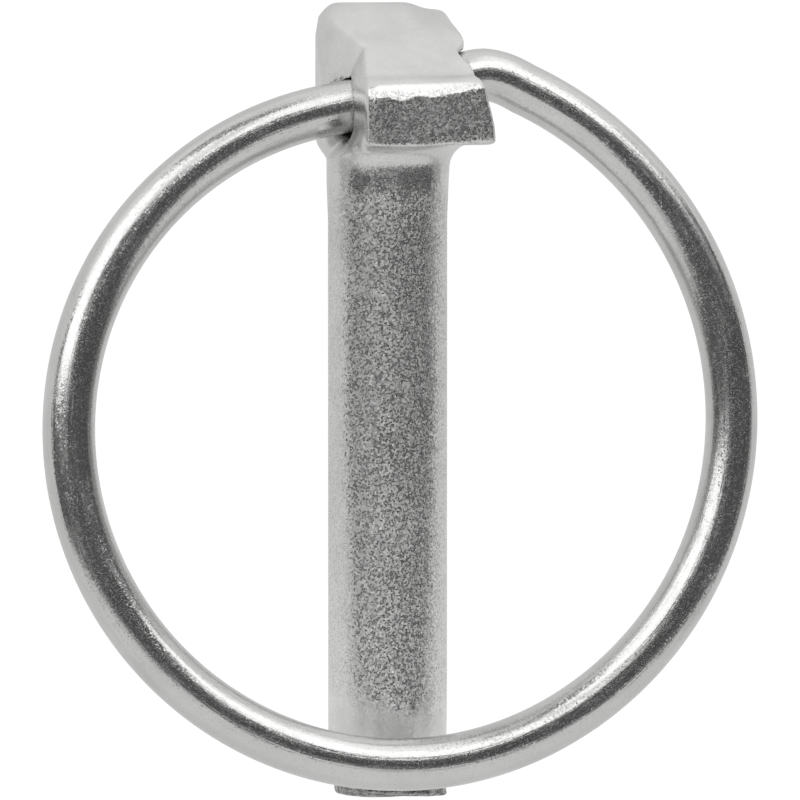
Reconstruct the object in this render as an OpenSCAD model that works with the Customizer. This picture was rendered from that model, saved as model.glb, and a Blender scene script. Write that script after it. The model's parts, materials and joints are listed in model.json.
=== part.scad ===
// Lynch pin: a forged round pin with a slope-topped head, and the spring ring that swings
// on the head and snaps down over the pin's end.
// The pin is drawn upright on its own axis, with the head up, the front towards -Y and the
// underside of the head at height 0. It is then laid on its back, as it comes to rest.

/* [Shank] */
// Diameter of the round shank
shank_d = 8; // [6:0.5:12]
// Length from the underside of the head to the tip
shank_len = 43.8; // [36:0.2:60]
// Length of the slight swell of the shank under the head
swell_len = 5; // [3:0.5:8]
// How far the swell stands out from the shank
swell_w = 0.15; // [0.05:0.05:0.3]
// Length of the slight lead-in taper at the tip
lead_len = 4.4; // [2:0.1:8]
// How far the lead-in taper narrows the shank, on the radius
lead_cut = 0.1; // [0.05:0.05:0.6]
// Width and height of the broken edge round the tip
tip_edge = 0.35; // [0.1:0.05:1]
// Tilt of the sheared end of the tip
shear_angle = 2.4; // [0:0.2:4]
// Radius of the fillet under the head
neck_r = 1.6; // [0.6:0.1:2.5]

/* [Head] */
// Depth of the head in front of the shank's axis
head_front = 5.4; // [4.6:0.1:9]
// Depth of the head behind the shank's axis
head_back = 5.4; // [4.6:0.1:9]
// Distance from the shank's axis to the face with the left bore
head_left = 2.6; // [2:0.1:5]
// Distance from the shank's axis to the face with the right bore
head_right = 5; // [4:0.1:8]
// Height of the sloping top at its front edge
front_h = 3.5; // [2.6:0.1:6]
// Slope of the top, down towards the front
top_slope = 28.5; // [22:0.5:36]
// How far the wing at the left back stands out from the left bore's face
back_wing = 1.3; // [0.4:0.1:2]
// How far the wing at the right front stands out from the right bore's face
front_wing = 1.35; // [0.2:0.05:2]
// How far the wing at the right back stands out from the right bore's face
rear_wing = 0.5; // [0.1:0.05:1]
// Lean of the right front wing's side, in towards the top
wing_draft = 8; // [0:0.5:14]
// Depth of the notch pressed into the left side of the top
notch_w = 1.05; // [0.4:0.05:2]
// Radius of the head's upright corners
corner_r = 0.5; // [0.3:0.1:1.2]
// Height of the sloping shoulder on the left of the neck
shoulder_h = 1.8; // [0.8:0.1:2.5]
// How far that shoulder stands out from the shank
shoulder_w = 1.4; // [0.5:0.1:2]

/* [Hinge] */
// Height of the hinge line above the head's underside, on the shank's axis
hinge_h = 2.95; // [2.4:0.05:5]
// Distance of the hinge line behind the shank's axis
hinge_back = 0.8; // [0:0.1:2]
// Rise of the hinge line from left to right
hinge_tilt = 11; // [0:0.5:14]
// Gap all round between the wire and its bore
bore_gap = 0.25; // [0.1:0.05:0.4]
// Length of wire held in each side of the head
stub_len = 3.6; // [2:0.1:5]

/* [Ring] */
// Diameter of the ring's wire
wire_d = 3.5; // [2.5:0.1:5]
// Radius of the ring's main arc, to the middle of the wire
ring_r = 22.1; // [18:0.5:30]
// Sweep of the main arc, from the left bore
main_sweep = 195; // [175:1:210]
// Radius of the bend that leads into the right bore
bend_r = 4.5; // [3.5:0.1:8]
// Sweep of that bend
bend_sweep = 34.5; // [25:0.5:45]
// Straight wire between the left bore's face and the main arc
lead_out = 1.6; // [0.3:0.1:3]
// Gap between the closed ring and the front of the shank
rest_gap = 0.12; // [0.05:0.01:0.3]

/* [Hidden] */
$fn = 96;
far = 60;           // size of the blocks that trim the head
over = 0.5;         // overlap of joined shapes and reach past a cut face
hair = 0.02;        // step in the wire's radius where two stretches of it join
tuck = 0.2;         // how far one stretch of wire runs into the next

shank_r = shank_d / 2;
lead_r = shank_r - lead_cut;
wire_r = wire_d / 2;
bore_r = wire_r + bore_gap;

// Ring: main arc, shoulder arc and bend turn the wire once round, and the shoulder's radius
// is the one that brings the far end back onto the hinge line.
turn_m = main_sweep;
turn_b = bend_sweep;
shoulder_r = (ring_r * (cos(turn_m) - 1) + bend_r * (1 - cos(turn_b)))
           / (cos(turn_m) - cos(turn_b));
turn_s = 360 - turn_m - turn_b;
// Places along the hinge line, from the shank's axis, where the straight wire starts.
left_mouth = -head_left / cos(hinge_tilt);
left_end = left_mouth - lead_out;
right_mouth = head_right / cos(hinge_tilt);
right_end = left_end + (shoulder_r - ring_r) * sin(turn_m) + (shoulder_r - bend_r) * sin(turn_b);
// Middle of the shoulder arc, along the hinge line and below it.
shoulder_x = left_end + (shoulder_r - ring_r) * sin(turn_m);
shoulder_y = ring_r + (shoulder_r - ring_r) * cos(turn_m);
// Lean of the closed ring from the shank, with the wire just off the front of the shank.
lean = asin((hinge_back + shank_r + rest_gap + wire_r) / (2 * ring_r));

// Lying on its back: the head's lower back edge and the back of the tip are on the floor.
tip_z = tip_edge - shank_len;
lie = atan((head_back - lead_r) / -tip_z);

// Middle of the whole part, seen from above, which is the origin.
side_r = sqrt(pow(cos(hinge_tilt), 2) + pow(sin(hinge_tilt) * cos(lean), 2));
function side_x(along, below) = along * cos(hinge_tilt) + below * sin(hinge_tilt) * cos(lean);
x_min = side_x(left_end, ring_r) - ring_r * side_r - wire_r;
x_max = side_x(shoulder_x, shoulder_y) + shoulder_r * side_r + wire_r;
back_h = front_h + (head_front + head_back) * tan(top_slope);
y_max = back_h * cos(lie) + head_back * sin(lie);
ring_low = hinge_h - 2 * ring_r * cos(lean) * cos(hinge_tilt) - wire_r;
y_min = min(-shank_len * cos(lie) - lead_r * sin(lie), ring_low);
mid_x = (x_min + x_max) / 2;
mid_y = (y_min + y_max) / 2;

// Lays what is drawn upright on its back, over the origin.
module lie_down()
    translate([-mid_x, -mid_y, head_back * cos(lie)])
        rotate([lie - 90, 0, 0])
            children();

// Turns X onto the hinge line, with its zero point level with the shank's axis.
module on_hinge()
    translate([0, hinge_back, hinge_h])
        rotate([0, -hinge_tilt, 0])
            children();

// ---------- pin body ----------

// Round shank with the swell under the head, the lead-in taper and the broken edge of the tip.
module shank()
    rotate_extrude()
        polygon([
            [0, over],
            [shank_r + swell_w, over],
            [shank_r + swell_w, -neck_r],
            [shank_r, -swell_len],
            [shank_r, lead_len - shank_len],
            [lead_r, tip_z],
            [lead_r - tip_edge, -shank_len],
            [0, -shank_len]
        ]);

// Hollow fillet between the shank and the underside of the head.
module neck_fillet()
    rotate_extrude()
        difference() {
            translate([0, -neck_r])
                square([shank_r + swell_w + neck_r, neck_r]);
            translate([shank_r + swell_w + neck_r, -neck_r])
                circle(r = neck_r);
        }

// Sloping shoulder that fills out the neck under the left bore: a cone set off to the left,
// which runs down into the shank.
module left_shoulder()
    translate([-shoulder_w, 0, 0])
        rotate_extrude()
            polygon([
                [0, over],
                [0, -shoulder_h],
                [shank_r - shoulder_w - 0.1, -shoulder_h],
                [shank_r, -0.3],
                [shank_r - 0.25, 0],
                [shank_r - 2 * over, over]
            ]);

// Outline of the head from above, anticlockwise from the front left, with its corners rounded
// by corner_r. The wire comes out between the wings.
wing_y = hinge_back + wire_r + 0.35;
waist_y = hinge_back - wire_r - 0.35;
wing_out = head_right + front_wing;
outline = [
    [-head_left, -head_front],
    [wing_out, -head_front],
    [wing_out - 0.15, waist_y - 1.2],
    [head_right + 0.3, waist_y - 0.3],
    [head_right - 0.2, waist_y + 0.9],
    [head_right + rear_wing, waist_y + 2.2],
    [head_right + rear_wing, head_back],
    [-head_left - back_wing, head_back],
    [-head_left - back_wing, wing_y],
    [-head_left, hinge_back]
];

// Points of an arc of radius r that is tangent to both sides of the corner at b.
function corner(a, b, c, r) =
    let (u = (a - b) / norm(a - b), v = (c - b) / norm(c - b),
         half = acos(u * v) / 2,
         reach = min(r / tan(half), norm(a - b) / 2.2, norm(c - b) / 2.2),
         rad = reach * tan(half),
         mid = b + (u + v) / norm(u + v) * rad / sin(half),
         from = b + u * reach - mid, to = b + v * reach - mid,
         side = sign(from.x * to.y - from.y * to.x))
    [for (k = [0 : 4])
        let (t = side * (180 - 2 * half) * k / 4)
        mid + [from.x * cos(t) - from.y * sin(t), from.x * sin(t) + from.y * cos(t)]];

module head_outline()
    polygon([for (i = [0 : len(outline) - 1])
        each corner(outline[(i + len(outline) - 1) % len(outline)], outline[i],
                    outline[(i + 1) % len(outline)], corner_r)]);

module head_block()
    linear_extrude(height = back_h + over)
        head_outline();

// Everything under the head, inside its outline.
module under_head()
    translate([0, 0, -shank_len / 2])
        linear_extrude(height = shank_len / 2)
            head_outline();

// Everything above the sloping top.
module above_top()
    translate([0, -head_front, front_h])
        rotate([top_slope, 0, 0])
            translate([-far / 2, -far / 2, 0])
                cube(far);

// Everything outside the leaning side of the right front wing.
module beside_wing()
    translate([wing_out, -head_front - over, 0])
        rotate([0, -wing_draft, 0])
            translate([0, 0, -far / 2])
                cube([far, head_front + over + waist_y, far]);

// Three points give a plane, and everything on the far side of it is cut away. Seen from
// outside, the points run anticlockwise.
module beyond(a, b, c) {
    n = cross(b - a, c - a) / norm(cross(b - a, c - a));
    translate(a)
        rotate([0, acos(n.z), atan2(n.y, n.x)])
            translate([-far / 2, -far / 2, 0])
                cube(far);
}

// The notch in the left of the top: two slopes that meet in a valley, which runs from the top
// of the head down to the top of the left bore's mouth.
function top_at(y) = front_h + (y + head_front) * tan(top_slope);
notch_y = hinge_back - 0.6;
notch_top = [notch_w - head_left, notch_y, top_at(notch_y)];
notch_low = [-head_left, hinge_back, hinge_h - head_left * tan(hinge_tilt) + bore_r];
notch_fore = [-head_left, -head_front, front_h];
notch_aft = [-head_left - back_wing + 0.2, head_back - 0.3, top_at(head_back - 0.3)];

module left_notch()
    intersection() {
        beyond(notch_top, notch_low, notch_fore);
        beyond(notch_top, notch_aft, notch_low);
    }

// The bore for both ends of the ring, straight through the head along the hinge line.
module bore()
    on_hinge()
        rotate([0, 90, 0])
            cylinder(h = far, r = bore_r, center = true);

// Flat reliefs that clear the wire where it leaves each side of the head.
module reliefs()
    on_hinge()
        for (side = [[right_mouth, 90], [left_mouth, -90]])
            translate([side[0], 0, 0])
                rotate([0, side[1], 0])
                    cylinder(h = far, r = wing_y - hinge_back);

// Everything below the tilted shear cut across the tip, which leaves the left side longest.
module sheared_off()
    translate([-lead_r, 0, -shank_len])
        rotate([0, -shear_angle, 0])
            translate([-far / 2, -far / 2, -far])
                cube(far);

module pin_body()
    color("silver")
        lie_down()
            difference() {
                union() {
                    shank();
                    intersection() {
                        neck_fillet();
                        under_head();
                    }
                    left_shoulder();
                    difference() {
                        head_block();
                        above_top();
                        beside_wing();
                        left_notch();
                    }
                }
                bore();
                reliefs();
                sheared_off();
            }

// ---------- ring ----------

// An arc of wire: it starts at the origin, runs towards -X and turns towards -Z. A tucked arc is
// a hair thinner, and its ends run on a little way into the stretches that it joins.
module wire_arc(r, turn, tucked = false) {
    extra = tucked ? tuck / r * 180 / PI : 0;
    translate([0, 0, -r])
        rotate([90, 0, 0])
            rotate([0, 0, 90 - extra])
                rotate_extrude(angle = turn + 2 * extra)
                    translate([r, 0])
                        circle(r = tucked ? wire_r - hair : wire_r, $fn = 48);
}

// A straight of wire that starts at the origin and runs towards X.
module wire_straight(length)
    rotate([0, 90, 0])
        cylinder(h = length, r = wire_r, $fn = 48);

// Moves on to the end of an arc, facing the way the wire runs on.
module after_arc(r, turn)
    translate([-r * sin(turn), 0, r * cos(turn) - r])
        rotate([0, -turn, 0])
            children();

module left_stub()
    translate([left_end, 0, 0])
        wire_straight(stub_len + lead_out);

module bent_wire()
    translate([left_end, 0, 0]) {
        wire_arc(ring_r, turn_m, tucked = true);
        after_arc(ring_r, turn_m) {
            wire_arc(shoulder_r, turn_s);
            after_arc(shoulder_r, turn_s)
                wire_arc(bend_r, turn_b, tucked = true);
        }
    }

module right_stub()
    translate([right_mouth - stub_len, 0, 0])
        wire_straight(right_end - right_mouth + stub_len);

module spring_ring()
    color("gainsboro")
        lie_down()
            on_hinge()
                rotate([-lean, 0, 0])
                    union() {
                        left_stub();
                        bent_wire();
                        right_stub();
                    }

pin_body();
spring_ring();
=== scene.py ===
# %% [markdown]
# # A lynch pin and its spring ring
# A lynch pin is two pieces of zinc-plated steel: a forged pin with a slope-topped head, and a ring
# of spring wire whose two ends sit in the head. The construction model gives the frame, the sizes
# and the hinge. Here both pieces get the softened edges and the finish of the real metal.
# The construction model is loaded first, because everything else is placed from it.

# %% Load the frame
import bpy
import json
import numpy as np
from mathutils import Matrix


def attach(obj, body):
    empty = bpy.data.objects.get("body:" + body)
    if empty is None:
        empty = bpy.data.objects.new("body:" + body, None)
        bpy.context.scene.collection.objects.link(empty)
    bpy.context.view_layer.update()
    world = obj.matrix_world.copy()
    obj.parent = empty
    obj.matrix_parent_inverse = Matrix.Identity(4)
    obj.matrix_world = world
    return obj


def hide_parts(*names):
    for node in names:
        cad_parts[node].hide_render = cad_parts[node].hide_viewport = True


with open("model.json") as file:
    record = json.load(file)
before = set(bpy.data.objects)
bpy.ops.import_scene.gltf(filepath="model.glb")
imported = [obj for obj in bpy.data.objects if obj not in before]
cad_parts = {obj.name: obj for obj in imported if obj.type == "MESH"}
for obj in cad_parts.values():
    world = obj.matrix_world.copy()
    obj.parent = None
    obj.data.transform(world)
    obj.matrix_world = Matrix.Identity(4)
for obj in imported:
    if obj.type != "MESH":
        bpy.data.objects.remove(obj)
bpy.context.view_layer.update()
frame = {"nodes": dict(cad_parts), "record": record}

# %% [markdown]
# The pin lies on its back, a little nose down, so its own axes are not the world's. A pin is easier
# to describe as if it stood upright: X to its right, Y to its back, Z from its tip to its head, and
# Z = 0 at the underside of the head. The record's mount on the shank says where that upright frame
# lies, so two small functions can take any point from one frame to the other. Every length from
# here on is in millimetres, unless it says metres.

# %% The pin's own axes
MM = 0.001                                              # one millimetre in metres
MOUNT_DEPTH = 22.2                                      # from under the head to the mount's middle
mount = frame["record"]["mounts"][0]
EZ = -np.array(mount["axis"]) / np.linalg.norm(mount["axis"])
EX = np.array([1.0, 0.0, 0.0])
EY = np.cross(EZ, EX)
AXES = np.stack([EX, EY, EZ])
ORIGIN = np.array(mount["pos_m"]) + MOUNT_DEPTH * MM * EZ


def lying(p):
    """World points in metres of upright points in millimetres: origin plus x, y, z times axes."""
    return ORIGIN + MM * np.asarray(p) @ AXES


def upright(p):
    """Upright points in millimetres of world points in metres: the same step taken backwards."""
    return (np.asarray(p) - ORIGIN) / MM @ AXES.T


print("underside of the head at", np.round(ORIGIN, 5), "pin axis", np.round(EZ, 4))

# %% [markdown]
# The ring is drawn wire, bent cold round a former. Its middle line is flat: a straight end in the
# left bore, one long arc that goes round past the bottom, a slightly wider arc up the right side, a
# tight bend, and the other straight end. It could be drawn as a curve object, but a chain of arcs
# is only sines and cosines of the angle turned, so one short function gives it exactly. Beside the
# right mouth the real wire rides a little above the hinge line, so the line has a low hump there.

# %% Middle line of the ring
WIRE_R, SHANK_R = 1.75, 4.0                             # radius of the wire and of the shank
REST_GAP = 0.12                                         # air between the closed ring and the shank
LEFT_SIDE, RIGHT_SIDE = -2.6, 5.0                       # X of the head's sides, at the bore
HINGE = np.array([0, 0.8, 2.95])                        # hinge line, level with the shank's axis
TILT = np.radians(11)                                   # rise of the hinge line, left to right
MAIN_R, MAIN_TURN = 22.1, np.radians(195)               # the long arc
BEND_R, BEND_TURN = 4.5, np.radians(34.5)               # the tight bend
STUB, LEAD_OUT = 3.6, 1.6                               # straight wire inside and outside the head
HUMP, HUMP_AT = 0.3, [4.4, 5.7, 7.0, 9.5]               # its height, and where it rises and falls
LEFT, RIGHT = LEFT_SIDE / np.cos(TILT), RIGHT_SIDE / np.cos(TILT)
LEAN = np.arcsin((HINGE[1] + SHANK_R + REST_GAP + WIRE_R) / (2 * MAIN_R))
SIDE_TURN = 2 * np.pi - MAIN_TURN - BEND_TURN
SIDE_R = ((MAIN_R * (np.cos(MAIN_TURN) - 1) + BEND_R * (1 - np.cos(BEND_TURN)))
          / (np.cos(MAIN_TURN) - np.cos(BEND_TURN)))
END_STEPS = np.array([0, 0.01, 0.04, 0.09, 0.16, 0.25, 0.35, 0.5])  # close steps round a cut edge


def middle_line(step=0.25):
    """Points (along the hinge line, below it) and the heading at each. An arc of radius r entered
    at heading h has, after turning t, moved r*(sin h - sin(h-t)) along and r*(cos(h-t) - cos h)
    down. The hump takes HUMP * (0, 1, 1, 0) off the depth of the right end at its four places."""
    x, q, h = LEFT - LEAD_OUT, 0.0, np.pi
    inner = LEFT + STUB
    straight = np.append(inner - END_STEPS, np.arange(inner - (END_STEPS[-1] + step), x, -step))
    parts = [np.stack([straight, 0 * straight, h + 0 * straight])]
    for r, turn in ((MAIN_R, MAIN_TURN), (SIDE_R, SIDE_TURN), (BEND_R, BEND_TURN)):
        t = np.linspace(0, turn, int(r * turn / step) + 2)[1:]
        parts.append(np.stack([x + r * (np.sin(h) - np.sin(h - t)),
                               q + r * (np.cos(h - t) - np.cos(h)), h - t]))
        x, q, h = parts[-1][:, -1]
    inner = RIGHT - STUB
    straight = np.append(np.arange(x - step, inner + 0.6, -step), inner + END_STEPS[::-1])
    parts.append(np.stack([straight, 0 * straight, h + 0 * straight]))
    x, q, h = np.concatenate(parts, axis=1)
    right_end = (np.arange(len(x)) > len(x) / 2) * (q < 6)
    q = q - HUMP * np.interp(x, HUMP_AT, [0, 1, 1, 0]) * right_end
    return np.stack([x, q, np.arctan2(np.gradient(q), np.gradient(x))])


line = middle_line()
print(line.shape[1], "points; right end at", np.round(line[:2, -1], 3),
      "side radius", round(SIDE_R, 2))

# %% [markdown]
# A round wire is that middle line with a circle carried along it. Each circle stands square to the
# line, with one axis out of the ring and the other through the ring's plane. Near both ends the
# circle shrinks on a quarter circle, which gives the sheared ends their small round edge.
# Every point also keeps its place on the unbent wire, so that draw lines can follow the wire.

# %% Wire surface
AROUND = 64                                             # points on each circle
ACROSS = np.array([np.cos(TILT), 0.0, np.sin(TILT)])
DOWN = np.array([np.sin(TILT) * np.cos(LEAN), -np.sin(LEAN), -np.cos(TILT) * np.cos(LEAN)])
THROUGH = np.cross(ACROSS, DOWN)


def wire_surface(cols=AROUND, edge=0.35):
    """Point (i, j) = middle point i + radius i * (cos a * outward + sin a * through), where a is j
    parts of a full turn. Radius i drops by edge * (1 - sqrt(1 - k*k)), k = 1 at the cut, 0
    inside."""
    x, q, h = line[:, :, None]
    a = np.linspace(0, 2 * np.pi, cols, endpoint=False)
    way = np.append(0, np.cumsum(np.hypot(np.diff(line[0]), np.diff(line[1]))))[:, None]
    k = np.clip(1 - np.minimum(way, way[-1] - way) / edge, 0, 1)
    r = WIRE_R - edge * (1 - np.sqrt(1 - k * k))
    flat_x = x - r * np.cos(a) * np.sin(h)
    flat_q = q + r * np.cos(a) * np.cos(h)
    out_of = (r * np.sin(a))[..., None] * THROUGH
    p = HINGE + flat_x[..., None] * ACROSS + flat_q[..., None] * DOWN + out_of
    unbent = np.stack(np.broadcast_arrays(way, r * np.cos(a), r * np.sin(a)), -1)
    return p.reshape(-1, 3), unbent.reshape(-1, 3)


def tube_faces(rows, cols=AROUND):
    """Quads between neighbouring circles, wound outwards, and one flat face over each end."""
    i, j = np.meshgrid(np.arange(rows - 1) * cols, np.arange(cols), indexing="ij")
    k = (j + 1) % cols
    quads = np.stack([i + j, i + k, i + cols + k, i + cols + j], -1).reshape(-1, 4).tolist()
    last = (rows - 1) * cols
    return quads + [list(range(cols - 1, -1, -1)), list(range(last, last + cols))]


wire_points, wire_unbent = wire_surface()
print(len(wire_points), "wire points, length", round(wire_unbent[:, 0].max(), 1), "mm")

# %% [markdown]
# A finished piece's object stays at the origin with its place in its mesh. One helper makes the
# piece, turns its points to where the pin lies, smooths its shading, and stores for every point a
# vector in millimetres that its material can read. It also adds up the volume inside the faces,
# which comes out positive only if they all look outwards. The ring comes first.

# %% A helper that makes a piece


def make_piece(name, points, faces, pattern_place):
    """Mesh from upright points and faces, with the given place in millimetres on each point. Its
    volume is a sixth of the sum of a . (b x c) over its triangles a, b, c."""
    mesh = bpy.data.meshes.new(name)
    placed = lying(points)
    mesh.from_pydata(placed, [], faces)
    kept_place = mesh.attributes.new("place", "FLOAT_VECTOR", "POINT")
    kept_place.data.foreach_set("vector", np.ravel(pattern_place))
    mesh.polygons.foreach_set("use_smooth", np.ones(len(mesh.polygons), bool))
    mesh.update()
    piece = bpy.data.objects.new(name, mesh)
    bpy.context.scene.collection.objects.link(piece)
    mesh.calc_loop_triangles()
    ends = np.empty(3 * len(mesh.loop_triangles), np.int32)
    mesh.loop_triangles.foreach_get("vertices", ends)
    a, b, c = placed[ends].reshape(-1, 3, 3).transpose(1, 0, 2) / MM
    volume = float((a * np.cross(b, c)).sum() / 6)
    print(name, len(a), "triangles round", round(volume), "mm3")
    return piece


ring = make_piece("zinc_wire_ring", wire_points, tube_faces(line.shape[1]), wire_unbent)
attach(ring, "ring")
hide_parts("spring_ring")

# %% [markdown]
# The pin is hot forged and then drilled, so nothing on it is sharp: its edges are rolled, its top
# is a little domed and its front edge is a worn, uneven lip. The construction model has every face
# of the head in its right place, with sharp edges. The quickest true way to soften them all alike
# is to copy that shape, rebuild its skin as small even squares, and relax them a little.

# %% Softened copy of the pin body


def softened_copy(node, square=0.15):
    """The node's mesh, merged and in upright millimetres, rebuilt in even squares."""
    mesh = frame["nodes"][node].data.copy()
    flat = np.empty(3 * len(mesh.vertices), np.float32)
    mesh.vertices.foreach_get("co", flat)
    mesh.vertices.foreach_set("co", upright(flat.reshape(-1, 3)).ravel())
    mesh.materials.clear()
    draft = bpy.data.objects.new("draft", mesh)
    bpy.context.scene.collection.objects.link(draft)
    weld = draft.modifiers.new("merge", "WELD")
    weld.merge_threshold = 0.0005
    skin = draft.modifiers.new("squares", "REMESH")
    skin.mode, skin.voxel_size = "VOXEL", square
    bpy.context.view_layer.update()
    done = draft.evaluated_get(bpy.context.evaluated_depsgraph_get()).to_mesh()
    points = np.empty(3 * len(done.vertices), np.float32)
    done.vertices.foreach_get("co", points)
    edges = np.empty(2 * len(done.edges), np.int32)
    done.edges.foreach_get("vertices", edges)
    faces = [list(f.vertices) for f in done.polygons]
    bpy.data.objects.remove(draft)
    bpy.data.meshes.remove(mesh)
    return points.reshape(-1, 3).astype(float), faces, edges.reshape(-1, 2)


pin_points, pin_faces, pin_edges = softened_copy("pin_body")
print(len(pin_points), "points,", len(pin_faces), "squares, z",
      np.round(pin_points[:, 2].min(), 2), "to", np.round(pin_points[:, 2].max(), 2), "mm")

# %% [markdown]
# Forging and wear work on a skin in three ways, and each is a short function over all the points at
# once. Fade is the smooth step that keeps a move to one place. Rolled presses an edge into a
# quarter circle. Relaxed lets a skin settle, more where its share is high. It is used first on the
# whole pin, for the even softness, and least on the sheared end, which stays crisper.

# %% Ways to soften a forging


def fade(v, full, none):
    """Smooth step: 1 where v is at full, 0 where it is at none, the curve 3t^2 - 2t^3 between."""
    t = np.clip((v - none) / (full - none), 0, 1)
    return t * t * (3 - 2 * t)


def rolled(p, point_a, out_a, point_b, out_b, radius):
    """Rolls the edge where two faces meet: with a, b = depths under the faces, a point that has
    both under the radius is pulled in to a quarter circle of that radius in (a, b)."""
    out = np.array([out_a, out_b], float)
    a = (np.array(point_a) - p) @ out[0]
    b = (np.array(point_b) - p) @ out[1]
    off_a, off_b = np.maximum(radius - a, 0), np.maximum(radius - b, 0)
    reach = np.maximum(np.hypot(off_a, off_b), 1e-9)
    pull = np.where((off_a > 0) & (off_b > 0), np.maximum(reach - radius, 0) / reach, 0)
    moves = np.stack([off_a * pull, off_b * pull], -1)
    solve = np.linalg.inv(out @ out.T) @ out
    return p - moves @ solve


def relaxed(p, edges, share, passes):
    """Moves every point towards the middle of its neighbours by its share, again and again: the
    neighbours' sum is a weighted count over the edges, so a pass is a few whole-array steps."""
    a, b = np.concatenate([edges, edges[:, ::-1]]).T
    count = np.bincount(a, minlength=len(p))
    for _ in range(passes):
        middle = np.stack([np.bincount(a, p[b, k], len(p)) for k in range(3)], -1) / count[:, None]
        p = p + share[:, None] * (middle - p)
    return p


forged = relaxed(pin_points, pin_edges, 0.5 - 0.3 * fade(pin_points[:, 2], -42, -41), 4)
print("settled by", round(np.linalg.norm(forged - pin_points, axis=1).max(), 2), "mm at most")

# %% [markdown]
# Left of the neck, the shank, the shoulder and the pressed waist all meet at the wire's mouth, and
# the dies leave that corner very round. The groove that clears the wire closes in to a snug gap.
# The shank's skin slopes up to the mouth, and the shoulder stands out only behind it. The neck
# below settles much more than the rest, and so, a little, do the head's flanks clear of the bore,
# where the waist was pressed in.

# %% Left mouth, shoulder and neck
CLOSE_IN, CLOSE_ABOVE = 0.25, 0.17                      # how far the groove closes, round and above
SKIN_R = 4.12                                           # distance of the shank's skin from its axis
SHOULDER_OUT = 0.6                                      # how far the shoulder stands out behind
SHOULDER_Y, SHOULDER_Z = 3.9, -0.6                      # middle of the shoulder


def from_hinge(p):
    """The part of each point's way from the hinge that is square to the hinge line, way minus
    (way . line) * line, and its length."""
    along = (p - HINGE) @ ACROSS
    spoke = p - HINGE - along[:, None] * ACROSS
    return spoke, np.linalg.norm(spoke, axis=1)


spoke, span = from_hinge(forged)
outside = span > 1.9                                    # all but the wall of the bore
round_wire = fade(span, 2.1, 2.9) * outside * fade(forged[:, 0], -2.75, -2.55)
over_wire = (fade(spoke[:, 2], 0.6, -0.6) * fade(span, 2.1, 2.7) * outside
             * fade(np.abs(forged[:, 0] - LEFT_SIDE), 0.8, 1.4))
closing = np.maximum(CLOSE_IN * round_wire, CLOSE_ABOVE * over_wire)
forged -= closing[:, None] * spoke / np.maximum(span, 1)[:, None]

x, y, z = forged.T                                      # views: they follow each move of forged
fore = fade(y, 2.0, 3.2) * fade(y, -2.7, -3.5) * fade(x, -2.5, -2.3) * (z > -2.3) * (z < 0.8)
radius = np.hypot(x, y)
forged[:, :2] -= (fore * np.maximum(radius - SKIN_R, 0) / radius)[:, None] * forged[:, :2]
slope_up = 0.25 + 0.95 * (x - LEFT_SIDE)
z -= fore * np.maximum(z - slope_up, 0) * (z < 0.8)
x -= (SHOULDER_OUT * fade(np.abs(y - SHOULDER_Y), 0.7, 1.9) * fade(np.abs(z - SHOULDER_Z), 0.5, 1.5)
      * fade(x, -3.2, -2.4))
hollow = fade(x, -2.3, -1.2) * fade(np.abs(z - SHOULDER_Z), 1.0, 2.1) * fade(y, -3.0, -4.4)
forged = relaxed(forged, pin_edges, 0.6 * hollow, 60)

span = from_hinge(forged)[1]
beside = np.maximum(fade(forged[:, 0], -2.7, -2.3), fade(forged[:, 0], 4.6, 4.2))
forged = relaxed(forged, pin_edges, 0.5 * fade(span, 4.0, 3.2) * beside, 12)
print("groove closed by", round(closing.max(), 2), "mm at most,", int((hollow > 0).sum()),
      "points settled at the neck")

# %% [markdown]
# The front of the tip leans back as a lead-in, so that the pin finds its hole. It starts lowest a
# little right of the middle, under a wavy edge, its slope grows over 2 mm to 1 in 5, and it ends
# short of the sheared end. The shear draws that end in on its left, leaves it a little long on its
# right, and leaves its edge crisper than the rest.

# %% Lead-in and sheared end
RAMP_START, RAMP_END = -38.0, -40.9                     # heights of the lead-in
RAMP_SLOPE = 0.2
DRAWN_IN, KEPT_LONG, CRISPED = 0.3, 0.3, 0.13           # moves at the sheared end
RIM_R, RIM_Z = 3.75, -43.6                              # its edge
x, y, z = forged.T
ramp_top = RAMP_START + 0.25 * np.abs(x - 0.8) + 0.2 * np.sin(5 * x)
below = np.clip(ramp_top + 1.0 - np.maximum(z, RAMP_END), 0, None)
y += RAMP_SLOPE * np.where(below < 2, below ** 2 / 4, below - 1) * fade(-y / SHANK_R, 0.8, -0.1)
x += DRAWN_IN * fade(z, -43.0, -41.0) * fade(x / SHANK_R, -0.9, -0.3)
z -= KEPT_LONG * fade(z, -43.2, -42.0) * fade(x, 3.4, 0.0)
rim = np.hypot(x, y)
crisp = CRISPED * fade(np.abs(rim - RIM_R) + np.abs(z - RIM_Z), 0.1, 0.6)
across = np.maximum(rim, 1)
forged += crisp[:, None] * np.stack([x / across, y / across, -1 + 0 * z], -1)
print("the tip's front leans back by", round(RAMP_SLOPE * (below.max() - 1), 2), "mm at most")

# %% [markdown]
# The front edge of the top is a lip: a narrow, wavy flat that leans back, higher on the right. The
# right wing leans in. The back edge of the top is raised a little and well rounded, and its two
# ends drop away. Each is a lift that depends on X and fades with depth under the top, and the
# roundness is an edge rolled to 0.8 mm. The lip's two heights, at its front edge and at its crest,
# are read between a few points across the head.

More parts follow.
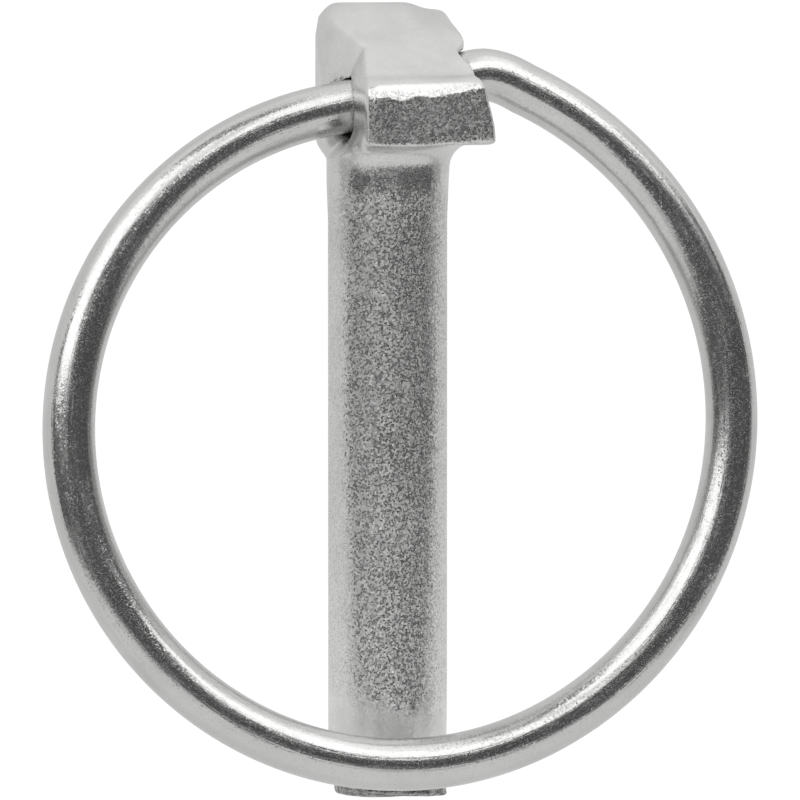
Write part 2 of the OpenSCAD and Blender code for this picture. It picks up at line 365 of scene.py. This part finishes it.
# %% Lip, right wing and back edge
SLOPE = np.radians(28.5)
TOP = np.array([0, -np.sin(SLOPE), np.cos(SLOPE)])      # the way the sloping top looks
FRONT_EDGE = np.array([0, -5.4, 3.5])                   # a point on the top's front edge
BACK_SIDE, BACK_RISE = 5.4, 0.3
WING_IN = 0.35
x, y, z = forged.T
depth = (FRONT_EDGE - forged) @ TOP
edge_lift = np.interp(x, [-2.6, -1.9, -1.2, -0.5, 0.1, 0.8, 1.4, 2.0, 2.9, 3.8, 5.1, 6.3],
                      [-0.50, -0.24, -0.20, -0.38, -0.34, -0.12, -0.16, -0.22, -0.02, 0.12,
                       0.42, 0.5])
crest_lift = np.interp(x, [-2.6, -1.8, 1.0, 4.5, 6.3], [0.1, 0.3, 0.36, 0.5, 0.55])
lip = np.where(y < -4.9, edge_lift + (crest_lift - edge_lift) * fade(y, -4.9, -5.4),
               crest_lift * fade(y, -4.9, -3.0))
ends = 1.3 * fade(x, -4.1, -1.9) ** 2 + 0.62 * fade(x, 4.1, 2.0) + 0.7 * fade(x, 5.7, 4.6) ** 2
back = BACK_RISE * fade(y, 5.2, 1.5) - ends * fade(y, BACK_SIDE, 1.6)
z += fade(depth, 0.3, 1.6) * (z > 1) * lip + fade(depth, 0.3, 2.5) * (z > 4) * back
x -= WING_IN * fade(z, 4.2, 1.2) * fade(x, 5.6, 4.4) * fade(y, -0.5, 0.5)
forged = rolled(forged, [0, BACK_SIDE, 0], [0, 1, 0], FRONT_EDGE + [0, 0, BACK_RISE], TOP, 0.8)
forged = relaxed(forged, pin_edges, 0.5 * fade(forged[:, 2], 8.2, 7.0), 12)
moved = np.linalg.norm(forged - pin_points, axis=1)
print("moved", int((moved > 0.01).sum()), "points, at most", round(moved.max(), 2), "mm")

pin = make_piece("zinc_forged_pin", forged, pin_faces, forged)
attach(pin, "pin")
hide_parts("pin_body")

# %% [markdown]
# Both pieces are steel with a bright zinc plate, a light neutral grey metal. A metal has no colour
# of its own beyond what it reflects, so its look is in the colour of that reflection, in how rough
# the plate is, and in the small relief under it. Colours are written as sRGB hex and turned to
# linear by one function, and one small helper adds a node with its settings and its links.
# Zinc plate is a skin of tiny crystals. Each mirrors its own bit of the room, which is the sparkle,
# so the relief is made of flat facets, one to a Voronoi cell, that tilt at random.

# %% Material helpers


def linear(hex_colour):
    """Linear RGBA of an sRGB hex colour: c/12.92 below 0.04045, else ((c + 0.055)/1.055)^2.4."""
    c = np.array([int(hex_colour[i:i + 2], 16) for i in (1, 3, 5)]) / 255
    return (*np.where(c <= 0.04045, c / 12.92, ((c + 0.055) / 1.055) ** 2.4).tolist(), 1.0)


def add(tree, kind, inputs=None, **settings):
    """Adds a node, applies its settings, and sets or links each input by its name or number."""
    node = tree.nodes.new("ShaderNode" + kind)
    for key, value in settings.items():
        setattr(node, key, value)
    for key, value in (inputs or {}).items():
        if isinstance(value, bpy.types.NodeSocket):
            tree.links.new(value, node.inputs[key])
        else:
            node.inputs[key].default_value = value
    return node


def new_material(name, piece):
    """The node tree of an empty material in the piece's only slot."""
    mat = bpy.data.materials.new(name)
    mat.use_nodes = True
    mat.node_tree.nodes.clear()
    piece.data.materials.clear()
    piece.data.materials.append(mat)
    return mat.node_tree


def crystal_facets(tree, place, per_mm, tilt, rare):
    """Height in millimetres of flat crystals, and a chance from 0 to 1 for each. Every Voronoi cell
    is a facet that tilts its own random way, height = tilt * (random direction . step from the
    cell's middle, in cells). Above a chance of 0.75 the tilt grows, up to rare times."""
    times = (per_mm, per_mm, per_mm)
    cells = add(tree, "TexVoronoi", {"Vector": place, "Scale": per_mm}).outputs["Position"]
    noise = add(tree, "TexWhiteNoise", {"Vector": cells})
    chance = noise.outputs["Value"]
    scaled = add(tree, "VectorMath", {0: place, 1: times}, operation="MULTIPLY")
    middle = add(tree, "VectorMath", {0: cells, 1: times}, operation="MULTIPLY")
    step = add(tree, "VectorMath", {0: scaled.outputs[0], 1: middle.outputs[0]},
               operation="SUBTRACT")
    lean = add(tree, "VectorMath", {0: noise.outputs["Color"], 1: (0.5, 0.5, 0.5)},
               operation="SUBTRACT")
    height = add(tree, "VectorMath", {0: step.outputs[0], 1: lean.outputs[0]},
                 operation="DOT_PRODUCT").outputs["Value"]
    more = add(tree, "MapRange", {"Value": chance, "From Min": 0.75, "From Max": 1.0,
                                  "To Min": 1.0, "To Max": rare}).outputs["Result"]
    for factor in (more, tilt):
        height = add(tree, "Math", {0: height, 1: factor}, operation="MULTIPLY").outputs[0]
    return height, chance


print("zinc grey in linear:", np.round(linear("#D2D2D1")[:3], 3))

# %% [markdown]
# The ring's wire was drawn through a die, bent and plated. The die leaves fine lines along the
# wire, at most 0.25 mm apart and about 8 mm long, and the plate over them is bright, with duller
# smears of about 0.6 by 3 mm where it has been handled. To the eye it is a round bar with long
# dark and bright stripes and a fine sparkle. Lines and smears are noise on the unbent wire,
# squeezed across it and stretched along it: the lines as bump and roughness, the smears as
# roughness alone. Real zinc crystals are mostly finer than 0.1 mm. They are drawn at 0.1 mm,
# because finer ones don't show.

# %% Zinc-plated drawn wire
LINES_PER_MM = (0.12, 4.0, 4.0)                         # along, outward and through the wire
SMEARS_PER_MM = (0.35, 1.6, 1.6)
CLOUDS_PER_MM = 0.25                                    # cloudy tint, 4 mm
CRYSTALS_PER_MM = 10.0
CRYSTAL_SLOPE = 0.055
LINE_DEPTH = 0.00003                                    # metres
tree = new_material("zinc_plated_drawn_wire", ring)
place = add(tree, "Attribute", attribute_name="place").outputs["Vector"]
lines = add(tree, "Mapping", {"Vector": place, "Scale": LINES_PER_MM}).outputs["Vector"]
lines = add(tree, "TexNoise", {"Vector": lines, "Scale": 1.0, "Detail": 3.0,
                               "Roughness": 0.6}).outputs["Fac"]
smears = add(tree, "Mapping", {"Vector": place, "Scale": SMEARS_PER_MM}).outputs["Vector"]
smears = add(tree, "TexNoise", {"Vector": smears, "Scale": 1.0, "Detail": 6.0,
                                "Roughness": 0.7}).outputs["Fac"]
clouds = add(tree, "TexNoise", {"Vector": place, "Scale": CLOUDS_PER_MM, "Detail": 3.0,
                                "Roughness": 0.5}).outputs["Fac"]
tint = add(tree, "ValToRGB", {"Fac": clouds})
for stop, at, tone in zip(tint.color_ramp.elements, (0.3, 0.7), ("#C7C7C6", "#D1D1D0")):
    stop.position, stop.color = at, linear(tone)
facets, chance = crystal_facets(tree, place, CRYSTALS_PER_MM, CRYSTAL_SLOPE / CRYSTALS_PER_MM, 3.0)
rough = 0.0
for value, low, high, least, most in ((lines, 0.42, 0.64, 0.12, 0.22),    # draw lines
                                      (chance, 0.75, 0.95, 0.0, 0.08),    # one crystal in four
                                      (smears, 0.5, 0.7, 0.0, 0.16)):     # smears
    part = add(tree, "MapRange", {"Value": value, "From Min": low, "From Max": high,
                                  "To Min": least, "To Max": most}).outputs["Result"]
    rough = add(tree, "Math", {0: part, 1: rough}, operation="ADD").outputs[0]
relief = add(tree, "Bump", {"Height": lines, "Strength": 0.6, "Distance": LINE_DEPTH})
relief = add(tree, "Bump", {"Height": facets, "Strength": 1.0, "Distance": MM,
                            "Normal": relief.outputs["Normal"]})
metal = add(tree, "BsdfPrincipled", {"Base Color": tint.outputs["Color"], "Metallic": 1.0,
                                     "Roughness": rough, "Normal": relief.outputs["Normal"]})
add(tree, "OutputMaterial", {"Surface": metal.outputs["BSDF"]})
print("wire finish:", len(tree.nodes), "nodes")

# %% [markdown]
# The pin keeps the skin of its forging under the plate: grains so thick on the shank and on the
# front of the head that the reflection breaks into speckle. The top is smoother. The tip's lead-in
# is rubbed rougher and even. Its colour is painted pale there, and more faintly all down the shank
# towards the tip: a painted sheen for light falling there. The sheared end is painted darker, a
# painted shade with streaks along the cut. Four shares worked out from each point's place say how
# grainy, rubbed, painted shaded or painted pale the skin is there. Rubbed also goes a little below
# 0 just under the neck, where the plate stayed brightest.

# %% Shares of the forging's skin
x, y, z = forged.T
over_ramp = z - ramp_top                                # height over the start of the lead-in
shank = fade(z + 0.25 * np.sin(4 * x), -4.0, -2.6) * fade(over_ramp, 1.2, -1.8)
front = fade(y, -5.3, -5.0) * fade(z, 0.1, -0.2) * (z > -1)
neck = fade(z, -2.0, 0.0) * (z < 0)
rubbed = (fade(over_ramp, -1.5, 1.0) * fade(z, -42.5, -43)
          - 0.19 * fade(z, -2.6, -3.6) * (z < -2))
SHARES = {
    "grain": np.clip(shank + 0.6 * front + 0.25 * neck * (1 - shank) + 0.12
                     + 0.45 * fade(z, -39, -36), 0, 1),
    "rubbed": rubbed,
    # Painted shade on the sheared end of the tip
    "sheared": fade(z, -43.1, -42.8),
    # Painted sheen: colour painted paler down the shank to the tip, most on the rubbed lead-in
    "painted_sheen": np.clip(0.5 * fade(z, -42, -15) + 0.8 * np.clip(rubbed, 0, 1), 0, 1),
}
for name, share in SHARES.items():
    pin.data.attributes.new(name, "FLOAT", "POINT").data.foreach_set("value", share)
    print(name, "from", round(float(share.min()), 2), "to", round(float(share.max()), 2))

# %% [markdown]
# The forging's grains are pits and crystals of 0.05 to 0.2 mm. They are drawn at about 0.12 mm, the
# finest that shows, and half of them are duller than the rest. Where the skin is rubbed the plate
# is rougher but even. Its colour there is painted pale, and more faintly down the shank to the tip:
# a painted sheen for light falling there. The sheared end is painted darker, a painted shade, in
# streaks a third of a millimetre wide.

# %% Zinc-plated forging
CRYSTALS_PER_MM = 8.5
CRYSTAL_SLOPE = 0.3
CLOUDS_PER_MM = 0.35                                    # cloudy tint and roughness, 3 mm
STREAKS_PER_MM = (0.5, 3.0, 6.0)                        # to the right, back and up
SHEEN_TONE, END_SHADE_TONE = "#F6F6F5", "#727271"                       # painted sheen towards the tip, and painted shade on the sheared end
RUBBED_ROUGH = 0.32
tree = new_material("zinc_plated_forging", pin)
place = add(tree, "Attribute", attribute_name="place").outputs["Vector"]
grain, rubbed, sheared, painted_sheen = [add(tree, "Attribute", attribute_name=name).outputs["Fac"]
                                 for name in SHARES]
tilt = add(tree, "Math", {0: grain, 1: CRYSTAL_SLOPE / CRYSTALS_PER_MM}, operation="MULTIPLY")
facets, chance = crystal_facets(tree, place, CRYSTALS_PER_MM, tilt.outputs[0], 2.0)
dull = add(tree, "MapRange", {"Value": chance, "From Min": 0.5, "From Max": 0.8,
                              "To Min": 0.0, "To Max": 0.28})
dull = add(tree, "Math", {0: dull.outputs["Result"], 1: grain}, operation="MULTIPLY")
clouds = add(tree, "TexNoise", {"Vector": place, "Scale": CLOUDS_PER_MM, "Detail": 4.0,
                                "Roughness": 0.6}).outputs["Fac"]
tint = add(tree, "ValToRGB", {"Fac": clouds})
for stop, at, tone in zip(tint.color_ramp.elements, (0.3, 0.7), ("#CFCFCE", "#DCDCDB")):
    stop.position, stop.color = at, linear(tone)
streaks = add(tree, "Mapping", {"Vector": place, "Scale": STREAKS_PER_MM}).outputs["Vector"]
streaks = add(tree, "TexNoise", {"Vector": streaks, "Scale": 1.0, "Detail": 3.0,
                                 "Roughness": 0.6}).outputs["Fac"]
streaks = add(tree, "MapRange", {"Value": streaks, "From Min": 0.38, "From Max": 0.62,
                                 "To Min": 0.5, "To Max": 1.0}).outputs["Result"]
# Painted shade: the sheared end darkened, in streaks along the cut
painted_end_shade = add(tree, "Math", {0: sheared, 1: streaks}, operation="MULTIPLY").outputs[0]
# Painted sheen: the tint mixed towards a pale tone towards the tip
colour = add(tree, "Mix", {0: painted_sheen, 6: tint.outputs["Color"], 7: linear(SHEEN_TONE)}, data_type="RGBA")
colour = add(tree, "Mix", {0: painted_end_shade, 6: colour.outputs[2], 7: linear(END_SHADE_TONE)}, data_type="RGBA")
rough = add(tree, "MapRange", {"Value": clouds, "From Min": 0.3, "From Max": 0.7,
                               "To Min": 0.21, "To Max": 0.26})
rough = add(tree, "Math", {0: rough.outputs["Result"], 1: dull.outputs[0]}, operation="ADD")
rough = add(tree, "Math", {0: rubbed, 1: RUBBED_ROUGH, 2: rough.outputs[0]},
            operation="MULTIPLY_ADD")
relief = add(tree, "Bump", {"Height": facets, "Strength": 1.0, "Distance": MM})
metal = add(tree, "BsdfPrincipled", {"Base Color": colour.outputs[2], "Metallic": 1.0,
                                     "Roughness": rough.outputs[0],
                                     "Normal": relief.outputs["Normal"]})
add(tree, "OutputMaterial", {"Surface": metal.outputs["BSDF"]})
print("forging finish:", len(tree.nodes), "nodes")

# %% [markdown]
# The floor is a plain sheet of white card. To the camera and in the metal most of it is its own
# even white, and the rest takes light, which keeps the soft shadow under the pin. The card's own
# level is a little over 1 to the camera, so that it and the dimmer share that takes light come out
# white together. In the metal its own white is painted light: a little dimmer round the pin and
# brighter beyond its head, as if the lamps fell more on the card behind the head.

# %% Floor
WHITE = (1, 1, 1, 1)
FLOOR_HALF = 3                                          # metres
OWN_SHARE = 0.86                                        # how much of the card is its own white
TO_CAMERA = 1.11                                        # level of that white to the camera
# Painted light: the card's glow as the metal sees it, dimmer round the pin, brighter beyond
ROUND_PIN, BEYOND_HEAD = 0.83, 1.06                     # and in the metal
HEAD_Y, BEYOND_Y = 0.026, 0.036                         # metres, where one turns to the other
corners = [(-FLOOR_HALF, -FLOOR_HALF, 0), (FLOOR_HALF, -FLOOR_HALF, 0),
           (FLOOR_HALF, FLOOR_HALF, 0), (-FLOOR_HALF, FLOOR_HALF, 0)]
floor_mesh = bpy.data.meshes.new("floor")
floor_mesh.from_pydata(corners, [], [(0, 1, 2, 3)])
floor = bpy.data.objects.new("floor", floor_mesh)
bpy.context.scene.collection.objects.link(floor)
tree = new_material("white_card", floor)
ray = add(tree, "LightPath").outputs
seen = add(tree, "Math", {0: ray["Is Camera Ray"], 1: ray["Is Glossy Ray"]}, operation="MAXIMUM")
share = add(tree, "Math", {0: seen.outputs[0], 1: OWN_SHARE}, operation="MULTIPLY")
matt = add(tree, "BsdfDiffuse", {"Color": linear("#F8F8F8")})
spot = add(tree, "SeparateXYZ", {"Vector": add(tree, "TexCoord").outputs["Object"]})
# Painted light on the card, seen in the metal: its glow rises from round the pin to beyond the head
painted_card_light = add(tree, "MapRange", {"Value": spot.outputs["Y"], "From Min": HEAD_Y,
                                  "From Max": BEYOND_Y, "To Min": ROUND_PIN,
                                  "To Max": BEYOND_HEAD})
direct = add(tree, "Math", {0: ray["Is Camera Ray"], 1: TO_CAMERA}, operation="MULTIPLY")
level = add(tree, "Math", {0: painted_card_light.outputs["Result"], 1: direct.outputs[0]},
            operation="MAXIMUM")
white = add(tree, "Emission", {"Color": WHITE, "Strength": level.outputs[0]})
mix = add(tree, "MixShader", {0: share.outputs[0], 1: matt.outputs[0], 2: white.outputs[0]})
add(tree, "OutputMaterial", {"Surface": mix.outputs[0]})
print("floor at z = 0,", 2 * FLOOR_HALF, "m square")

# %% [markdown]
# The camera looks down on the front of the lying pin from 0.56 m away, 13 degrees to its left and 4
# degrees above it, through a long lens that keeps the shank's sides almost parallel. Its axes point
# to its right, up, and back, away from what it sees.

# %% Camera
RIGHT_WAY = np.array([0.97437007, -0.00776122, 0.22481713])
UP_WAY = np.array([0.01569179, 0.99931518, -0.0335104])
BACK_WAY = np.cross(RIGHT_WAY, UP_WAY)
CAMERA_PLACE = np.array([-125.6058, 20.2570, 551.5026])
camera = bpy.data.objects.new("camera", bpy.data.cameras.new("camera"))
bpy.context.scene.collection.objects.link(camera)
camera.data.lens, camera.data.sensor_width = 376.7, 36.0
camera.data.clip_start, camera.data.clip_end = 0.01, 20.0
matrix = np.eye(4)
matrix[:3] = np.stack([RIGHT_WAY, UP_WAY, BACK_WAY, CAMERA_PLACE * MM], 1)
camera.matrix_world = Matrix(matrix.tolist())
bpy.context.scene.camera = camera
print("camera at", np.round(matrix[:3, 3], 4))

# %% [markdown]
# Bright metal shows the room. A plain studio for it is a pale dome with soft windows above the
# object as the camera sees it, and a dark gap round the camera, which draws the dark cores in round
# steel. The dome is drawn in the world by angle: each patch is a smooth step in angle to the right
# of the camera's line times one in angle above it, so nothing stands in the way of any view. A
# later patch lies over an earlier one. The camera itself sees plain white.

# %% Light dome
PALE_DOME = 0.85                                        # level, where 1 is white
PATCHES = [                                             # level, degrees right, degrees up, softness
    (0.64, (-200, -92), (-120, 120), 16),               # behind the object on the left
    (0.58, (92, 128), (-28, 22), 16),                   # behind it on the right, low
    (1.4, (14, 130), (56, 84), 18),                     # a high, wide light on the right
    (0.2, (-110, 6), (62, 71), 4),                      # a dark bar over the left window
    (0.09, (-84, 98), (-18, 32), 7),                    # the dark gap round the camera
    (0.09, (10, 66), (-20, -8), 7),                     # the gap's lower edge on the right
    (1.8, (-66, -10), (14, 58), 7),                     # left window
    (1.8, (3, 72), (28, 60), 7),                        # right window
]
world = bpy.data.worlds.new("studio")
bpy.context.scene.world = world
world.use_nodes = True
tree = world.node_tree
tree.nodes.clear()
way = add(tree, "TexCoord").outputs["Generated"]
to_right, to_up, to_back = [add(tree, "VectorMath", {0: way, 1: tuple(axis)},
                                operation="DOT_PRODUCT").outputs["Value"]
                            for axis in (RIGHT_WAY, UP_WAY, BACK_WAY)]
side = add(tree, "Math", {0: to_right, 1: to_back}, operation="ARCTAN2").outputs[0]
rise = add(tree, "Math", {0: to_up}, operation="ARCSINE").outputs[0]


def zone(angle, low, high, soft):
    """1 between two angles in degrees and 0 outside them, each edge a smooth step so soft wide."""
    low, high, half = np.radians(low), np.radians(high), np.radians(soft) / 2
    up = add(tree, "MapRange", {"Value": angle, "From Min": low - half, "From Max": low + half},
             interpolation_type="SMOOTHSTEP")
    down = add(tree, "MapRange", {"Value": angle, "From Min": high - half, "From Max": high + half,
                                  "To Min": 1.0, "To Max": 0.0}, interpolation_type="SMOOTHSTEP")
    return add(tree, "Math", {0: up.outputs[0], 1: down.outputs[0]},
               operation="MULTIPLY").outputs[0]


level = PALE_DOME
for patch_level, sides, rises, soft in PATCHES:
    mask = add(tree, "Math", {0: zone(side, *sides, soft), 1: zone(rise, *rises, soft)},
               operation="MULTIPLY").outputs[0]
    level = add(tree, "Mix", {"Factor": mask, "A": level, "B": patch_level},
                data_type="FLOAT").outputs["Result"]
level = add(tree, "Mix", {"Factor": add(tree, "LightPath").outputs["Is Camera Ray"], "A": level,
                          "B": 1.0}, data_type="FLOAT").outputs["Result"]
glow = add(tree, "Background", {"Color": WHITE, "Strength": level})
add(tree, "OutputWorld", {"Surface": glow.outputs[0]})
bpy.context.scene.view_settings.view_transform = "Standard"
print("light dome:", len(tree.nodes), "nodes")
